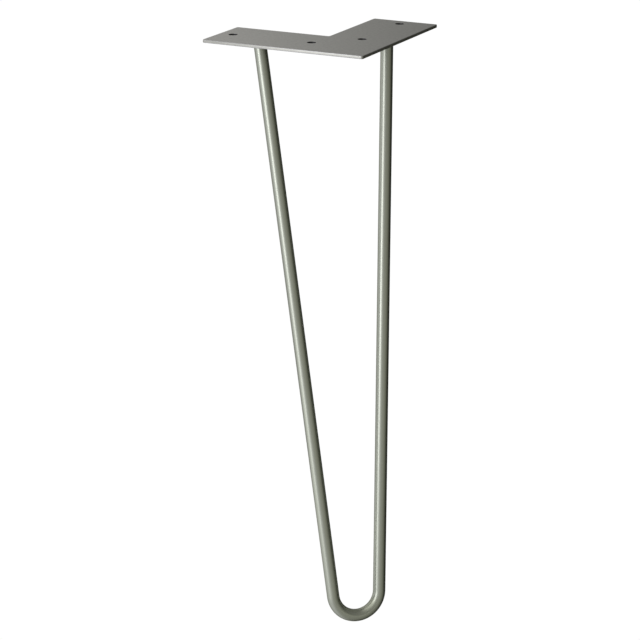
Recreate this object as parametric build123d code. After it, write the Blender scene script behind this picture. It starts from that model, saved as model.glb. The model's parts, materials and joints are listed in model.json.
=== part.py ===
from build123d import *
import math
import os

# Driving dimensions, in millimetres

# Overall
LEG_HEIGHT = 460.0  # from the table's underside down to the floor

# L-shaped mounting plate
PLATE_ARM_LENGTH = 135.0  # outer corner to the end of either arm
PLATE_ARM_WIDTH = 55.0
PLATE_THICKNESS = 2.5
PLATE_CORNER_RADIUS = 1.5  # corners of the outline, seen from above
PLATE_EDGE_RADIUS = 0.5  # edges rounded off before finishing

# Screw holes, on the centre-line of each arm
SCREW_HOLE_DIAMETER = 7.0
OUTER_HOLE_INSET = 11.5  # arm's end to the outer hole's centre
INNER_HOLE_REACH = 28.5  # crossing of the centre-lines to the inner hole's centre

# Round bar, bent once at the foot
ROD_DIAMETER = 10.0
ROD_BEND_RADIUS = 19.5  # to the bar's own centre-line
ROD_SEAT_INSET = 34.5  # arm's end to the bar's centre-line at the plate
FOOT_INSET = 3.5  # plate's outer corner back to the foot, along the diagonal

# Fillet weld round each end of the bar
WELD_LEG = 4.0  # along the plate and along the bar
WELD_CROWN = 0.5  # how far the bead swells past a flat face
WELD_TOE = 0.3  # thickness of the bead where it dies out on the bar

# Derived places: the origin is where the arms' centre-lines cross, on the plate's top face
half_width = PLATE_ARM_WIDTH / 2
arm_reach = PLATE_ARM_LENGTH - half_width
outer_hole_reach = arm_reach - OUTER_HOLE_INSET
seat_reach = arm_reach - ROD_SEAT_INSET
rod_radius = ROD_DIAMETER / 2
underside = Plane.XY.offset(-PLATE_THICKNESS)

# Each half of the leg mirrors the other across this upright plane through the plate's corner
mirror_plane = Plane(origin=(0, 0, 0), z_dir=(1, 1, 0))


def make_mounting_plate():
    """Flat L with two screw holes in each arm, rounded off along both rims."""
    left_arm = Pos(half_width, 0) * Rectangle(
        PLATE_ARM_LENGTH, PLATE_ARM_WIDTH, align=(Align.MAX, Align.CENTER)
    )
    outline = left_arm + mirror(left_arm, about=mirror_plane)
    outline = fillet(outline.vertices(), PLATE_CORNER_RADIUS)

    hole = Circle(SCREW_HOLE_DIAMETER / 2)
    for reach in (INNER_HOLE_REACH, outer_hole_reach):
        outline -= Pos(-reach, 0) * hole
        outline -= Pos(0, reach) * hole

    plate = extrude(outline, amount=-PLATE_THICKNESS)
    faces = plate.faces().sort_by(Axis.Z)
    rims = faces[0].outer_wire().edges() + faces[-1].outer_wire().edges()
    return fillet(rims, min(PLATE_EDGE_RADIUS, PLATE_THICKNESS / 3))


def make_centre_line():
    """Two straight runs and one tangent bend, in the plane that leans out under the plate's corner."""
    left_seat = Vector(-seat_reach, 0, -PLATE_THICKNESS)
    right_seat = Vector(0, seat_reach, -PLATE_THICKNESS)
    middle = (left_seat + right_seat) * 0.5
    foot_reach = half_width - FOOT_INSET / math.sqrt(2)
    foot = Vector(foot_reach, -foot_reach, rod_radius - LEG_HEIGHT)
    across = (right_seat - left_seat).normalized()
    upward = (middle - foot).normalized()
    lean_plane = Plane(origin=middle, x_dir=across, z_dir=across.cross(upward))

    # The straight runs would meet at an apex below the foot, where the bend rounds them off
    half_gap = (right_seat - left_seat).length / 2
    bend_centre_depth = (middle - foot).length - ROD_BEND_RADIUS
    bend_share = ROD_BEND_RADIUS / half_gap
    tangent_length = math.sqrt(half_gap**2 + bend_centre_depth**2 - ROD_BEND_RADIUS**2)
    apex_depth = (bend_centre_depth + bend_share * tangent_length) / (1 - bend_share**2)

    # Each end runs on past the plate, to be cut off flush with its underside
    run_on = ROD_DIAMETER / apex_depth
    end_x = half_gap * (1 + run_on)
    end_y = apex_depth * run_on
    flat_line = FilletPolyline((-end_x, end_y), (0, -apex_depth), (end_x, end_y), radius=ROD_BEND_RADIUS)
    return lean_plane * flat_line


def make_hairpin_rod(centre_line):
    """Round bar swept along the hairpin, with both ends cut to the slant of the plate."""
    start = Plane(origin=centre_line @ 0, z_dir=centre_line % 0)
    bar = sweep(start * Circle(rod_radius), path=centre_line)
    return split(bar, bisect_by=underside, keep=Keep.BOTTOM)


def make_left_weld(centre_line, rod):
    """Crowned bead that follows the slanted joint between the plate and the leaning bar."""
    seat = Vector(-seat_reach, 0, -PLATE_THICKNESS)
    direction = centre_line % 0
    fall = -direction.Z
    lean_heading = Vector(direction.X, direction.Y, 0)

    def section(depth, spread):
        """Level cut through the bead: the bar's own oval at that depth, grown by the spread."""
        centre = seat + direction * (depth / fall)
        plane = Plane(origin=centre, x_dir=lean_heading, z_dir=(0, 0, 1))
        return plane * Ellipse(rod_radius / fall + spread, rod_radius + spread)

    bead = loft(
        [
            section(0, WELD_LEG),
            section(WELD_LEG / 2, WELD_LEG / 2 + WELD_CROWN),
            section(WELD_LEG, WELD_TOE),
        ]
    )
    return bead - rod


hairpin_line = make_centre_line()
hairpin_rod = make_hairpin_rod(hairpin_line)
left_weld = make_left_weld(hairpin_line, hairpin_rod)
pieces = {
    "mounting_plate": make_mounting_plate(),
    "hairpin_rod": hairpin_rod,
    "left_weld": left_weld,
    "right_weld": mirror(left_weld, about=mirror_plane),
}

os.makedirs("parts", exist_ok=True)
for name, piece in pieces.items():
    export_step(piece, f"parts/{name}.step")
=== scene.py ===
# Hairpin table leg: a round bar bent into a long narrow U and welded under an L-shaped plate
import json
import math

import bmesh
import bpy
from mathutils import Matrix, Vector


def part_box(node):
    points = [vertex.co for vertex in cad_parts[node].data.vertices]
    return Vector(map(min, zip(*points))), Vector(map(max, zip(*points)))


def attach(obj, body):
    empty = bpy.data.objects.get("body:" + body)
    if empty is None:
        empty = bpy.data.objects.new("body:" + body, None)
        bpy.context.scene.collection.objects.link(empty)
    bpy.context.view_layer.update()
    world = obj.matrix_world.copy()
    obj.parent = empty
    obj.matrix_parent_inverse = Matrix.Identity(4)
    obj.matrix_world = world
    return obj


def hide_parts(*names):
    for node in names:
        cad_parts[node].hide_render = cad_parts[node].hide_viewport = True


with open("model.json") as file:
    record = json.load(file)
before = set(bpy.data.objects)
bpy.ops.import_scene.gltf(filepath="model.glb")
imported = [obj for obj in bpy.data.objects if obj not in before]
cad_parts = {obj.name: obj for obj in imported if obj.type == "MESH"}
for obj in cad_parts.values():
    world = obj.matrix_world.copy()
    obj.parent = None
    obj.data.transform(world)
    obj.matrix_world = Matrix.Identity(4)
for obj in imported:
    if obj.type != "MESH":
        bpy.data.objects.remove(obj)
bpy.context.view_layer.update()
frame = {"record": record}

# Mounting plate
# A flat steel plate sheared from sheet as an L, which holds the leg to the underside of a table top. Its
# rims are rounded off and each arm is drilled for two screws. The whole leg is then coated satin grey in one
# go. The walls of the drilled holes are tinted near black: painted shade, for the shade deep inside the
# holes.
# The sheared edge is tinted darker and less metallic than the top: painted shade, which dims the softbox's
# reflection along it.
plate_low, plate_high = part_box("mounting_plate")
arm_half_width = plate_high.x
arm_reach = -plate_low.x
plate_thickness = -plate_low.z
plate_corner_radius = 0.0015
plate_rim_radius = 0.0005
hole_rim_radius = 0.0001
flat_lip = 0.0006  # keeps the shading of the flat faces flat, right up to the rounded rims
corner_steps = 6
rim_steps = 5
hole_sides = 64
mm_per_metre = 1000

# Each finish has its darkest and its lightest tint
plate_tints = ((0.297, 0.294, 0.282), (0.387, 0.383, 0.366))
# The sheared edge's darker tints are painted shade, which dims the softbox's reflection along it
edge_tints = ((0.286, 0.288, 0.239), (0.33, 0.332, 0.277))
# Near-black tints for the walls of the drilled holes: painted shade for the shade inside them
painted_hole_shade_tints = ((0.07, 0.07, 0.067), (0.1, 0.1, 0.096))
edge_metallic = 0.75
hole_wall_metallic = 1.0

# The coat itself, with the scales of its patterns in patches per metre
coat_metallic = 0.92
coat_roughness = (0.28, 0.31)  # of the glossiest and the dullest patches
coat_noise_range = (0.3, 0.7)  # what lies outside it counts as darkest or lightest
coat_mottle_scale = 110.0
plate_mottle_scale = 450.0
mottle_detail = 5.0
sheen_scale = 260.0
sheen_detail = 3.0
grain_scale = 900.0
grain_detail = 2.0
grain_height = 0.00001
grain_strength = 0.5


class NodeTree:
    """Adds nodes to a tree one step at a time, each fed from the steps before it."""

    def __init__(self, tree):
        self.tree = tree

    def fill(self, node, inputs):
        """Links or sets each named input of a node."""
        for key, value in inputs.items():
            socket = next(s for s in node.inputs if s.enabled and key in (s.identifier, s.name))
            if isinstance(value, bpy.types.NodeSocket):
                self.tree.links.new(value, socket)
            else:
                socket.default_value = value

    def step(self, kind, inputs, output=None, **settings):
        """One node with its inputs filled; gives the named output, or else the first in use."""
        node = self.tree.nodes.new(kind)
        for key, value in settings.items():
            setattr(node, key, value)
        self.fill(node, inputs)
        return node.outputs[output] if output else next(s for s in node.outputs if s.enabled)

    def number(self, operation, first, second=None):
        """One step of arithmetic on one or two numbers."""
        inputs = {"Value": first}
        if second is not None:
            inputs["Value_001"] = second
        return self.step("ShaderNodeMath", inputs, operation=operation)

    def vector(self, operation, first, second=None):
        """One step of arithmetic on one or two vectors, where SCALE takes a number second."""
        inputs = {"Vector": first}
        if second is not None:
            inputs["Scale" if operation == "SCALE" else "Vector_001"] = second
        return self.step("ShaderNodeVectorMath", inputs, operation=operation)

    def part(self, axis, vector):
        """One coordinate of a vector."""
        return self.step("ShaderNodeSeparateXYZ", {"Vector": vector}, axis)

    def ramp(self, value, stops):
        """A colour for a value from 0 to 1, blended between stops that each have a place and a colour."""
        node = self.tree.nodes.new("ShaderNodeValToRGB")
        elements = node.color_ramp.elements
        while len(elements) < len(stops):
            elements.new(0.5)
        for element, (place, colour) in zip(elements, stops):
            element.position = place
            element.color = (*colour, 1)
        self.fill(node, {"Fac": value})
        return node.outputs["Color"]


def satin_finish(
    name,
    tints,
    surface_place,
    stretch=(1, 1, 1),
    metallic=coat_metallic,
    roughness=coat_roughness,
    mottle_scale=coat_mottle_scale,
):
    """Grey coat over steel: faintly mottled in colour and gloss, over a fine grain."""
    material = bpy.data.materials.new(name)
    material.use_nodes = True
    coat = NodeTree(material.node_tree)
    place = coat.step("ShaderNodeMapping", {"Vector": surface_place(coat), "Scale": stretch})

    def noise(scale, detail):
        return coat.step("ShaderNodeTexNoise", {"Vector": place, "Scale": scale, "Detail": detail})

    mottle = coat.ramp(noise(mottle_scale, mottle_detail), list(zip(coat_noise_range, tints)))
    sheen = coat.step(
        "ShaderNodeMapRange",
        {
            "Value": noise(sheen_scale, sheen_detail),
            "From Min": coat_noise_range[0],
            "From Max": coat_noise_range[1],
            "To Min": roughness[0],
            "To Max": roughness[1],
        },
    )
    grain = coat.step(
        "ShaderNodeBump",
        {"Height": noise(grain_scale, grain_detail), "Strength": grain_strength, "Distance": grain_height},
    )
    coat.fill(
        material.node_tree.nodes["Principled BSDF"],
        {"Base Color": mottle, "Metallic": metallic, "Roughness": sheen, "Normal": grain},
    )
    return material


def own_place(coat):
    """The pattern lies still on the piece, in the leg's own frame."""
    return coat.step("ShaderNodeTexCoord", {}, "Object")


def finish_piece(mesh, node):
    """Puts a finished mesh in the scene, standing for one solid of the leg."""
    piece = bpy.data.objects.new(mesh.name, mesh)
    bpy.context.scene.collection.objects.link(piece)
    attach(piece, "root")
    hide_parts(node)


plate_corners = [
    Vector((arm_half_width, -arm_half_width)),
    Vector((arm_half_width, arm_reach)),
    Vector((-arm_half_width, arm_reach)),
    Vector((-arm_half_width, arm_half_width)),
    Vector((-arm_reach, arm_half_width)),
    Vector((-arm_reach, -arm_half_width)),
]


def outline_loop(inset):
    """The L's outline drawn in by the inset, anticlockwise, with each corner as an arc."""
    points = []
    for index, corner in enumerate(plate_corners):
        following = plate_corners[(index + 1) % len(plate_corners)]
        arriving = (corner - plate_corners[index - 1]).normalized()
        leaving = (following - corner).normalized()
        is_inner_corner = arriving.cross(leaving) < 0
        radius = plate_corner_radius + (inset if is_inner_corner else -inset)
        centre = corner + plate_corner_radius * (leaving - arriving)
        for step in range(corner_steps + 1):
            turn = math.pi / 2 * step / corner_steps
            points.append(centre + radius * (arriving * math.sin(turn) - leaving * math.cos(turn)))
    return points


def hole_loop(centre, radius, inset):
    """A screw hole's edge, widened by the inset."""
    points = []
    for step in range(hole_sides):
        turn = 2 * math.pi * step / hole_sides
        points.append(centre + (radius + inset) * Vector((math.cos(turn), math.sin(turn))))
    return points


def rim_profile(radius):
    """Insets and levels down a rounded edge: flat lip, top rounding, wall, bottom rounding, flat lip."""
    top = [(radius + flat_lip, 0.0)]
    for step in range(rim_steps + 1):
        turn = math.pi / 2 * step / rim_steps
        top.append((radius * (1 - math.sin(turn)), -radius * (1 - math.cos(turn))))
    bottom = [(inset, -plate_thickness - level) for inset, level in reversed(top)]
    return top + bottom


plate_finishes = {
    "face": satin_finish("plate_satin_grey", plate_tints, own_place, mottle_scale=plate_mottle_scale),
    # The sheared edge's darker, less metallic finish is painted shade that tones down the softbox's
    # reflection
    "edge": satin_finish("sheared_edge_grey", edge_tints, own_place, metallic=edge_metallic),
    # The hole walls' near-black tint is painted shade for the holes' insides
    "hole": satin_finish("drilled_wall_painted_shade", painted_hole_shade_tints, own_place, metallic=hole_wall_metallic),
}


def make_plate_mesh(holes):
    """Walls the outline and every hole, then fills both flat faces between them."""
    shape = bmesh.new()
    finish_order = list(plate_finishes)
    top_edges = []
    bottom_edges = []

    def add_wall(loop_at, radius, wall_finish):
        profile = rim_profile(radius)
        rings = []
        for inset, level in profile:
            rings.append([shape.verts.new((point.x, point.y, level)) for point in loop_at(inset)])
        for number, (upper, lower) in enumerate(zip(rings, rings[1:])):
            is_wall = number == len(profile) // 2 - 1
            for here in range(len(upper)):
                there = (here + 1) % len(upper)
                face = shape.faces.new((upper[here], upper[there], lower[there], lower[here]))
                face.material_index = finish_order.index(wall_finish if is_wall else "face")
        for ring, edges in ((rings[0], top_edges), (rings[-1], bottom_edges)):
            for here in range(len(ring)):
                there = (here + 1) % len(ring)
                edges.append(shape.edges.get((ring[here], ring[there])))

    add_wall(outline_loop, plate_rim_radius, "edge")
    for centre, radius in holes:
        add_wall(lambda inset: hole_loop(centre, radius, inset), hole_rim_radius, "hole")
    bmesh.ops.triangle_fill(shape, edges=top_edges, use_beauty=True, normal=(0, 0, 1))
    bmesh.ops.triangle_fill(shape, edges=bottom_edges, use_beauty=True, normal=(0, 0, -1))
    bmesh.ops.recalc_face_normals(shape, faces=shape.faces)
    for face in shape.faces:
        face.smooth = True
    mesh = bpy.data.meshes.new("mounting_plate_coated")
    shape.to_mesh(mesh)
    shape.free()
    for finish in plate_finishes.values():
        mesh.materials.append(finish)
    return mesh


screw_holes = []
for mount in frame["record"]["mounts"]:
    if mount["kind"] == "bolt_pattern":
        sizes = mount["dims"]
        middle = Vector(mount["pos_m"][:2])
        spacing = Vector((sizes.get("spacing_x_mm", 0), sizes.get("spacing_y_mm", 0))) / mm_per_metre
        for place in (middle - spacing / 2, middle + spacing / 2):
            screw_holes.append((place, sizes["hole_r_mm"] / mm_per_metre))

finish_piece(make_plate_mesh(screw_holes), "mounting_plate")

# Hairpin bar
# One length of round steel bar, bent once round a former into a long narrow U that leans out to the plate's
# corner. Its ends are cut to the slant of the plate, and faint draw lines run along it under the coat.
bar_low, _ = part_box("hairpin_rod")
bar_radius = 0.005
bend_radius = 0.0195  # to the bar's centre-line
seat_inset = 0.0345  # arm's end to the bar's centre-line at the plate
foot_inset = 0.0035  # plate's outer corner back to the foot, along the diagonal
bend_steps = 64
bar_rings = 620
bar_sides = 64
crease_angle = math.radians(45)  # an edge that turns by more than this is shaded sharp

bar_tints = ((0.334, 0.350, 0.276), (0.364, 0.381, 0.301))
draw_line_stretch = (1.0, 1.0, 0.015)

seat_reach = arm_reach - seat_inset
left_seat = Vector((-seat_reach, 0, -plate_thickness))
right_seat = Vector((0, seat_reach, -plate_thickness))
seat_middle = (left_seat + right_seat) / 2
foot_reach = arm_half_width - foot_inset / math.sqrt(2)
foot = Vector((foot_reach, -foot_reach, bar_low.z + bar_radius))

# The straight runs would meet at a corner below the foot, where the bend rounds them off
half_gap = (right_seat - left_seat).length / 2
bend_centre_depth = (foot - seat_middle).length - bend_radius
bend_share = bend_radius / half_gap
tangent_length = math.sqrt(half_gap**2 + bend_centre_depth**2 - bend_radius**2)
corner_depth = (bend_centre_depth + bend_share * tangent_length) / (1 - bend_share**2)
run_corner = seat_middle + (foot - seat_middle).normalized() * corner_depth


class Recipe(NodeTree):
    """A geometry node tree with a named input for each size, which is run once to make a mesh."""

    def __init__(self, name):
        super().__init__(bpy.data.node_groups.new(name, "GeometryNodeTree"))
        self.tree.is_modifier = True
        self.tree.interface.new_socket("Geometry", in_out="OUTPUT", socket_type="NodeSocketGeometry")
        self.entry = self.tree.nodes.new("NodeGroupInput")
        self.sizes = {}

    def size(self, name, value):
        """A named input of the tree, and the value that it gets."""
        kinds = {int: "NodeSocketInt", float: "NodeSocketFloat", Vector: "NodeSocketVector"}
        socket = self.tree.interface.new_socket(name, in_out="INPUT", socket_type=kinds[type(value)])
        self.sizes[socket.identifier] = value
        return self.entry.outputs[name]

    def is_point(self, number):
        """Picks out one point of a curve by its number, counted from 0."""
        index = self.step("GeometryNodeInputIndex", {})
        pair = {"A": index, "B": number}
        return self.step("FunctionNodeCompare", pair, data_type="INT", operation="EQUAL")

    def keep(self, geometry, kind, value):
        """Reads a value here and carries it along, for use further down."""
        node = self.tree.nodes.new("GeometryNodeCaptureAttribute")
        node.capture_items.new(kind, "Kept")
        self.fill(node, {"Geometry": geometry, "Kept": value})
        return node.outputs["Geometry"], node.outputs["Kept"]

    def bake(self, name, geometry, material):
        """Ends the tree, runs it once and gives its result as a plain mesh, smooth but for sharp edges."""
        smooth = self.step("GeometryNodeSetShadeSmooth", {"Geometry": geometry, "Shade Smooth": True})
        edge_angle = self.step("GeometryNodeInputMeshEdgeAngle", {})
        is_sharp = self.number("GREATER_THAN", edge_angle, crease_angle)
        creases = {"Geometry": smooth, "Selection": is_sharp, "Shade Smooth": False}
        creased = self.step("GeometryNodeSetShadeSmooth", creases, domain="EDGE")
        realized = self.step("GeometryNodeRealizeInstances", {"Geometry": creased})
        coated = self.step("GeometryNodeSetMaterial", {"Geometry": realized, "Material": material})
        self.fill(self.tree.nodes.new("NodeGroupOutput"), {"Geometry": coated})

        blank_mesh = bpy.data.meshes.new("blank")
        blank = bpy.data.objects.new("blank", blank_mesh)
        bpy.context.scene.collection.objects.link(blank)
        modifier = blank.modifiers.new("recipe", "NODES")
        modifier.node_group = self.tree
        for identifier, value in self.sizes.items():
            modifier[identifier] = value
        evaluated = blank.evaluated_get(bpy.context.evaluated_depsgraph_get())
        mesh = bpy.data.meshes.new_from_object(evaluated)
        blank.modifiers.remove(modifier)
        bpy.data.objects.remove(blank)
        bpy.data.meshes.remove(blank_mesh)
        mesh.name = name
        return mesh


def make_bar_mesh(material):
    """Two runs to one corner, rounded by the bend, swept by the bar's section and cut off at the plate."""
    recipe = Recipe("hairpin_bar")
    left_end = recipe.size("Left End", left_seat)
    right_end = recipe.size("Right End", right_seat)
    corner = recipe.size("Corner Of The Runs", run_corner)
    section_radius = recipe.size("Bar Radius", bar_radius)
    turn_radius = recipe.size("Bend Radius", bend_radius)
    turn_steps = recipe.size("Bend Steps", bend_steps)
    rings = recipe.size("Rings", bar_rings)
    sides = recipe.size("Sides", bar_sides)

    # One cut gives the line a middle point, which is drawn down to the corner of the runs
    line = recipe.step("GeometryNodeCurvePrimitiveLine", {"Start": left_end, "End": right_end})
    line = recipe.step("GeometryNodeSubdivideCurve", {"Curve": line, "Cuts": 1})
    is_corner = recipe.is_point(1)
    line = recipe.step(
        "GeometryNodeSetPosition", {"Geometry": line, "Selection": is_corner, "Position": corner}
    )
    line = recipe.step(
        "GeometryNodeFilletCurve", {"Curve": line, "Count": turn_steps, "Radius": turn_radius}, mode="POLY"
    )
    line = recipe.step("GeometryNodeResampleCurve", {"Curve": line, "Count": rings})
    is_end = recipe.step("GeometryNodeCurveEndpointSelection", {"Start Size": 1, "End Size": 1})
    line, is_end = recipe.keep(line, "BOOLEAN", is_end)
    run = recipe.step("GeometryNodeSplineParameter", {}, "Length")
    line, run = recipe.keep(line, "FLOAT", run)

    place = recipe.step("GeometryNodeInputPosition", {})
    circle = {"Resolution": sides, "Radius": section_radius}
    section = recipe.step("GeometryNodeCurvePrimitiveCircle", circle)
    section, section_place = recipe.keep(section, "VECTOR", place)
    bar = recipe.step(
        "GeometryNodeCurveToMesh", {"Curve": line, "Profile Curve": section, "Fill Caps": True}
    )

    # Each end's ring slides along its own run until it lies flat against the plate
    left_run = recipe.vector("SUBTRACT", corner, left_end)
    right_run = recipe.vector("SUBTRACT", corner, right_end)
    side = recipe.number("ADD", recipe.part("X", place), recipe.part("Y", place))
    is_right = recipe.number("GREATER_THAN", side, 0.0)
    runs = {"Switch": is_right, "False": left_run, "True": right_run}
    own_run = recipe.step("GeometryNodeSwitch", runs, input_type="VECTOR")
    shortfall = recipe.number("SUBTRACT", recipe.part("Z", left_end), recipe.part("Z", place))
    slide = recipe.vector("SCALE", own_run, recipe.number("DIVIDE", shortfall, recipe.part("Z", own_run)))
    bar = recipe.step("GeometryNodeSetPosition", {"Geometry": bar, "Selection": is_end, "Offset": slide})

    # The bar as it was before bending, for the draw lines that run along it
    straight = recipe.step(
        "ShaderNodeCombineXYZ",
        {"X": recipe.part("X", section_place), "Y": recipe.part("Y", section_place), "Z": run},
    )
    bar = recipe.step(
        "GeometryNodeStoreNamedAttribute",
        {"Geometry": bar, "Name": "straight_bar", "Value": straight},
        data_type="FLOAT_VECTOR",
        domain="POINT",
    )
    return recipe.bake("hairpin_bar_coated", bar, material)


def straight_bar_place(coat):
    """The pattern follows the bar round its bend."""
    return coat.step("ShaderNodeAttribute", {}, "Vector", attribute_name="straight_bar")


bar_finish = satin_finish("bar_satin_grey", bar_tints, straight_bar_place, stretch=draw_line_stretch)
finish_piece(make_bar_mesh(bar_finish), "hairpin_rod")

# Welds
# A fillet weld runs round each end of the bar, where it meets the plate. It is laid by hand in short
# overlapping dabs, so it has fine ripples, and it is coated over with the rest.
weld_low, weld_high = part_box("left_weld")
weld_leg = weld_high.z - weld_low.z
weld_swell = 0.0028  # how far the face of the bead bulges out of the corner, before it is rounded
weld_crown_radius = 0.0075
weld_ripples = 26
points_per_ripple = 24
weld_face_points = 16
weld_ripple_bow = 0.7  # how far each dab's crescent reaches ahead, in dabs
weld_ripple_depth = 0.07  # share of the bead
weld_waver_depth = 0.14  # share of the bead
weld_waver_scale = 260.0
weld_waver_detail = 1.0
weld_waver_seeds = {"left": 3.0, "right": 8.0}
weld_roughness = (0.28, 0.36)


def make_weld_mesh(name, seat, run, seed, material):
    """A crowned bead swept round the bar's slanted oval, leaned with the bar and rippled in crescents."""
    recipe = Recipe(name)
    fall = -run.z
    oval_half_length = bar_radius * run.length / fall
    heading = math.atan2(run.y, run.x)
    centre = recipe.size("Seat", seat)
    oval = recipe.size("Oval", Vector((oval_half_length, bar_radius, 1.0)))
    turn = recipe.size("Heading", Vector((0, 0, heading)))
    lean_by_depth = recipe.size("Lean By Depth", Vector((run.x, run.y, 0)) / fall)
    points = recipe.size("Points", weld_ripples * points_per_ripple)
    face_points = recipe.size("Face Points", weld_face_points)
    leg = recipe.size("Leg", weld_leg)
    swell = recipe.size("Swell", weld_swell)
    crown = recipe.size("Crown Radius", weld_crown_radius)
    ripples = recipe.size("Ripples", weld_ripples)
    ripple_bow = recipe.size("Ripple Bow", weld_ripple_bow)
    ripple_depth = recipe.size("Ripple Depth", weld_ripple_depth)
    waver_depth = recipe.size("Waver Depth", weld_waver_depth)
    waver_scale = recipe.size("Waver Scale", weld_waver_scale)
    waver_detail = recipe.size("Waver Detail", weld_waver_detail)
    waver_seed = recipe.size("Waver Seed", seed)

    # A circle of radius 1 is stretched to the oval that the slanted cut leaves
    path = recipe.step("GeometryNodeCurvePrimitiveCircle", {"Resolution": points, "Radius": 1.0})
    path = recipe.step("GeometryNodeTransform", {"Geometry": path, "Scale": oval, "Rotation": turn})
    place = recipe.step("GeometryNodeInputPosition", {})
    path, root = recipe.keep(path, "VECTOR", place)
    path, share = recipe.keep(path, "FLOAT", recipe.step("GeometryNodeSplineParameter", {}, "Factor"))

    # The section goes from the root to the toe on the plate, over the face and to the toe on the bar
    toe_on_plate = recipe.step("ShaderNodeCombineXYZ", {"X": leg})
    face = recipe.step("ShaderNodeCombineXYZ", {"X": swell, "Y": swell})
    toe_on_bar = recipe.step("ShaderNodeCombineXYZ", {"Y": leg})
    section = recipe.step(
        "GeometryNodeCurvePrimitiveQuadrilateral",
        {"Point 1": (0, 0, 0), "Point 2": toe_on_plate, "Point 3": face, "Point 4": toe_on_bar},
        mode="POINTS",
    )
    is_face = recipe.is_point(2)
    rounding = recipe.number("MULTIPLY", is_face, crown)
    section = recipe.step(
        "GeometryNodeFilletCurve",
        {"Curve": section, "Count": face_points, "Radius": rounding, "Limit Radius": True},
        mode="POLY",
    )
    section, section_place = recipe.keep(section, "VECTOR", place)
    bead = recipe.step("GeometryNodeCurveToMesh", {"Curve": path, "Profile Curve": section})

    # Each dab is a crescent that reaches furthest ahead along the middle of the bead's face, where the sine
    # is 1, and dies out at both toes, where it is 0
    slope = recipe.number("ARCTAN2", recipe.part("Y", section_place), recipe.part("X", section_place))
    middle = recipe.number("SINE", recipe.number("MULTIPLY", slope, 2.0))
    count = recipe.number("MULTIPLY", share, ripples)
    count = recipe.number("ADD", count, recipe.number("MULTIPLY", middle, ripple_bow))
    hump = recipe.number("ABSOLUTE", recipe.number("SINE", recipe.number("MULTIPLY", count, math.pi)))
    groove = recipe.number("MULTIPLY", recipe.number("SUBTRACT", 1.0, hump), middle)
    waver = recipe.step(
        "ShaderNodeTexNoise",
        {"Vector": place, "W": waver_seed, "Scale": waver_scale, "Detail": waver_detail},
        noise_dimensions="4D",
    )
    dip = recipe.number("MULTIPLY", groove, ripple_depth)
    dip = recipe.number("ADD", dip, recipe.number("MULTIPLY", waver, waver_depth))
    shrink = recipe.number("MULTIPLY", dip, -1.0)
    rippled = recipe.vector("SCALE", recipe.vector("SUBTRACT", place, root), shrink)
    bead = recipe.step("GeometryNodeSetPosition", {"Geometry": bead, "Offset": rippled})

    # The level bead is moved to its seat, and each part of it sideways by how deep it lies, as the bar leans
    depth = recipe.number("MULTIPLY", recipe.part("Z", place), -1.0)
    leaned = recipe.vector("ADD", centre, recipe.vector("SCALE", lean_by_depth, depth))
    bead = recipe.step("GeometryNodeSetPosition", {"Geometry": bead, "Offset": leaned})
    return recipe.bake(name, bead, material)


weld_finish = satin_finish("weld_satin_grey", bar_tints, own_place, roughness=weld_roughness)
for side, seat in (("left", left_seat), ("right", right_seat)):
    run = run_corner - seat
    weld_mesh = make_weld_mesh(f"{side}_weld_bead", seat, run, weld_waver_seeds[side], weld_finish)
    finish_piece(weld_mesh, f"{side}_weld")

# Floor, studio light and camera
# The leg stands on an even white floor before a white backdrop. A tall leaning softbox lights it from the
# front left, with a card on the floor beside it and a dim panel behind. The room is bright at the front left
# and nearly black at the back right, and its ceiling is dim behind and brighter in front.
floor_level = bar_low.z
floor_reach = 12.0
white = (1, 1, 1, 1)
black = (0, 0, 0, 1)
white_level = 1.02  # just past full white, so that floor and backdrop show no seam


def add_panel(name, azimuth, distance, height, size, radiance, core, tilt=90, roll=0, tint=(1, 1, 1)):
    """A soft light panel that fades from its core to its edges; angles in degrees, azimuth 0 in front."""
    width, tall = size
    panel = bpy.data.lights.new(name, "AREA")
    panel.shape = "RECTANGLE"
    panel.size = width
    panel.size_y = tall
    panel.color = tint
    panel.energy = radiance * math.pi * width * tall
    lamp = bpy.data.objects.new(name, panel)
    bpy.context.scene.collection.objects.link(lamp)
    bearing = math.radians(azimuth)
    lamp.location = (math.sin(bearing) * distance, -math.cos(bearing) * distance, height)
    lamp.rotation_euler = (math.radians(tilt), math.radians(roll), bearing)
    lamp.visible_camera = False

    panel.use_nodes = True
    glow = NodeTree(panel.node_tree)
    turn = lamp.rotation_euler.to_matrix()
    place = glow.step("ShaderNodeNewGeometry", {}, "Position")
    off_centre = glow.vector("SUBTRACT", place, lamp.location)
    fades = []
    for axis, half_size in ((turn.col[0], width / 2), (turn.col[1], tall / 2)):
        off_axis = glow.number("ABSOLUTE", glow.vector("DOT_PRODUCT", off_centre, axis))
        fade = {"Value": off_axis, "From Min": half_size, "From Max": half_size * core}
        fades.append(glow.step("ShaderNodeMapRange", fade, interpolation_type="SMOOTHSTEP"))
    strength = glow.number("MULTIPLY", fades[0], fades[1])
    glow.fill(panel.node_tree.nodes["Emission"], {"Strength": strength})


def make_floor_material():
    """An even white that takes no shade, and that can be seen through from below."""
    material = bpy.data.materials.new("pale_floor")
    material.use_nodes = True
    sheet = NodeTree(material.node_tree)
    upper_side = material.node_tree.nodes["Principled BSDF"]
    sheet.fill(
        upper_side,
        {
            "Base Color": black,
            "Roughness": 1.0,
            "Specular IOR Level": 0.0,
            "Emission Color": white,
            "Emission Strength": white_level,
        },
    )
    from_below = sheet.step("ShaderNodeNewGeometry", {}, "Backfacing")
    lower_side = sheet.step("ShaderNodeBsdfTransparent", {})
    sides = {"Fac": from_below, "Shader": upper_side.outputs["BSDF"], "Shader_001": lower_side}
    one_sided = sheet.step("ShaderNodeMixShader", sides)
    sheet.fill(material.node_tree.nodes["Material Output"], {"Surface": one_sided})
    return material


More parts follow.
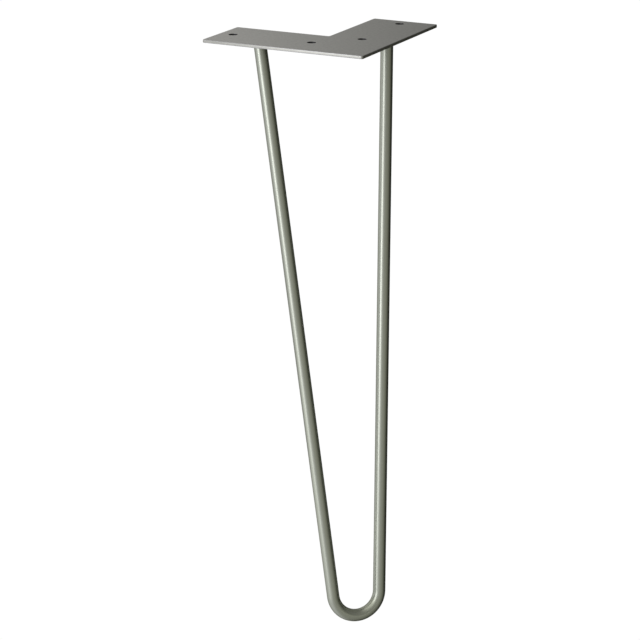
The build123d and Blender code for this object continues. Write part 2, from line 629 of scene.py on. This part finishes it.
floor_mesh = bpy.data.meshes.new("floor")
floor_corners = [
    (-floor_reach, -floor_reach, floor_level),
    (floor_reach, -floor_reach, floor_level),
    (floor_reach, floor_reach, floor_level),
    (-floor_reach, floor_reach, floor_level),
]
floor_mesh.from_pydata(floor_corners, [], [(0, 1, 2, 3)])
floor_mesh.materials.append(make_floor_material())
floor = bpy.data.objects.new("floor", floor_mesh)
bpy.context.scene.collection.objects.link(floor)

# Only the camera sees the floor, so it gives the leg no light and no shade
floor.visible_glossy = False
floor.visible_diffuse = False
floor.visible_shadow = False

add_panel(
    "key_softbox",
    azimuth=-19.4,
    distance=1.4,
    height=0.0,
    size=(0.94, 2.0),
    radiance=3.1,
    core=0.0,
    roll=10,
    tint=(1.01, 1, 1.15),
)
add_panel(
    "floor_card",
    azimuth=-42,
    distance=0.9,
    height=floor_level,
    size=(0.51, 2.05),
    radiance=0.47,
    core=0.35,
    tilt=180,
)
add_panel(
    "back_panel",
    azimuth=-132,
    distance=1.2,
    height=0.46,
    size=(1.5, 0.6),
    radiance=0.935,
    core=0.1,
    tint=(1.02, 1, 0.97),
)

world = bpy.data.worlds.new("studio")
bpy.context.scene.world = world
world.use_nodes = True
room = NodeTree(world.node_tree)


def room_ramp(value, stops):
    """Colour of the room's light against a value from -1 to 1."""
    share = room.step("ShaderNodeMapRange", {"Value": value, "From Min": -1.0})
    return room.ramp(share, [((place + 1) / 2, colour) for place, colour in stops])


def grey(level):
    """A colour with no tint."""
    return (level, level, level)


# Across the room, 1 is its bright side and -1 the far side; in height, 1 is overhead and -1 underfoot
bright_side = math.radians(-35)
side_stops = [
    (-1.0, (0.03, 0.031, 0.024)),
    (-0.88, (0.028, 0.029, 0.023)),
    (-0.68, (0.275, 0.279, 0.248)),
    (-0.09, (0.53, 0.53, 0.515)),
    (0.5, (0.647, 0.647, 0.668)),
    (1.0, (1.2, 1.2, 1.36)),
]
height_stops = [
    (-1.0, grey(0.62)),
    (-0.7, grey(0.77)),
    (-0.3, grey(0.81)),
    (0.12, grey(1.24)),
    (0.21, grey(0.51)),
]
ceiling_stops = [(-1.0, grey(0.25)), (0.0, grey(0.37)), (1.0, grey(1.28))]
walls_top = 0.22  # height where the walls start to give way to the ceiling
ceiling_foot = 0.45  # height from which it is all ceiling

direction = room.step("ShaderNodeTexCoord", {}, "Generated")
upward = room.part("Z", direction)
bearing = room.vector("NORMALIZE", room.vector("MULTIPLY", direction, (1, 1, 0)))
to_bright_side = (math.sin(bright_side), -math.cos(bright_side), 0)
across = room.vector("DOT_PRODUCT", bearing, to_bright_side)

walls = world.node_tree.nodes["Background"]
room.fill(walls, {"Color": room_ramp(across, side_stops), "Strength": room_ramp(upward, height_stops)})
ceiling = room.step("ShaderNodeBackground", {"Color": room_ramp(across, ceiling_stops)})
ceiling_share = room.step(
    "ShaderNodeMapRange",
    {"Value": upward, "From Min": walls_top, "From Max": ceiling_foot},
    interpolation_type="SMOOTHSTEP",
)
room_light = room.step(
    "ShaderNodeMixShader",
    {"Fac": ceiling_share, "Shader": walls.outputs["Background"], "Shader_001": ceiling},
)

# The camera sees the white backdrop, and the leg is lit by the room
backdrop = room.step("ShaderNodeBackground", {"Color": white, "Strength": white_level})
is_seen = room.step("ShaderNodeLightPath", {}, "Is Camera Ray")
studio = room.step("ShaderNodeMixShader", {"Fac": is_seen, "Shader": room_light, "Shader_001": backdrop})
room.fill(world.node_tree.nodes["World Output"], {"Surface": studio})

camera_place = (0.6835, -1.3918, 0.3177)
camera_dip = math.radians(19.01)  # below level
camera_turn = math.radians(26.86)
upright = math.radians(90)
camera_data = bpy.data.cameras.new("photo_view")
camera_data.sensor_width = 36.0
camera_data.lens = 118.24
camera = bpy.data.objects.new("photo_view", camera_data)
bpy.context.scene.collection.objects.link(camera)
camera.location = camera_place
camera.rotation_euler = (upright - camera_dip, 0, camera_turn)
bpy.context.scene.camera = camera
bpy.context.scene.view_settings.view_transform = "Standard"
